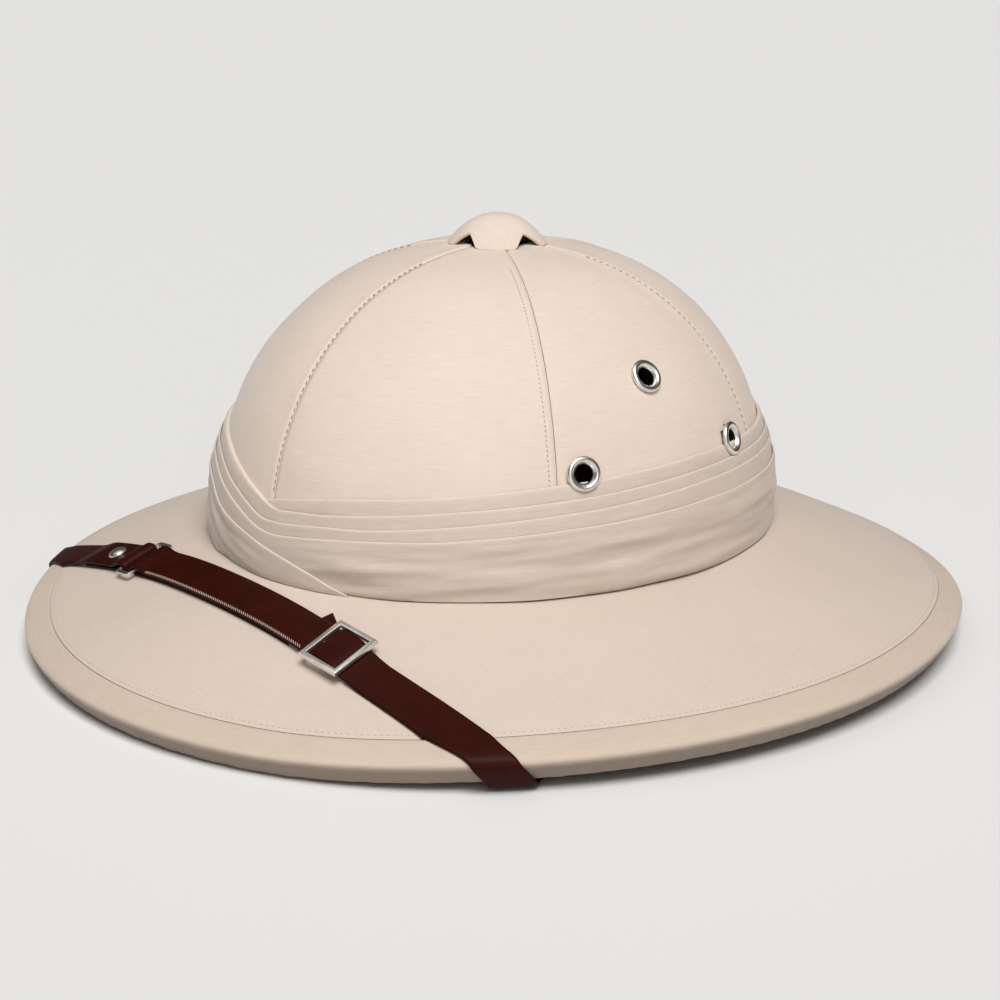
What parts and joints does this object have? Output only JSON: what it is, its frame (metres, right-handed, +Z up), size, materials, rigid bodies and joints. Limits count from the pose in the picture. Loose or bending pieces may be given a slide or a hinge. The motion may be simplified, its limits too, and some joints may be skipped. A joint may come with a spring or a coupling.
{
  "type": "pith helmet",
  "caption": "Cloth-covered sun helmet with a wide bound brim, wound puggaree, metal eyelets, a vented top cap and a leather chin strap laid over the front of the brim.",
  "frame": {"origin": "on the crown's middle line left to right, halfway along the brim, level with the rim that the hat rests on", "axes": "-Y is the front of the hat, +X the wearer's left, +Z up"},
  "size_m": [0.346, 0.368, 0.1574],
  "materials": {
    "cloth": "pale khaki cotton twill",
    "shell": "moulded fibre, matt",
    "leather": "dark red-brown, polished",
    "nickel": "nickel plate"
  },
  "bodies": {
    "root": {"shell": "shell", "crown_panel_1": "cloth", "crown_panel_2": "cloth", "crown_panel_3": "cloth", "crown_panel_4": "cloth", "crown_panel_5": "cloth", "crown_panel_6": "cloth", "brim_cloth": "cloth", "edge_binding": "cloth", "puggaree": "cloth", "eyelet_left_low_front": "nickel", "eyelet_right_low_front": "nickel", "eyelet_left_high": "nickel", "eyelet_right_high": "nickel", "eyelet_left_low_back": "nickel", "eyelet_right_low_back": "nickel", "vent_cap": "cloth", "vent_post": "nickel", "strap_long": "leather", "strap_tab": "leather", "strap_buckle": "nickel", "strap_ring": "nickel", "tab_rivet": "nickel", "strap_tack_left": "nickel", "strap_tack_right": "nickel"}
  },
  "joints": []
}
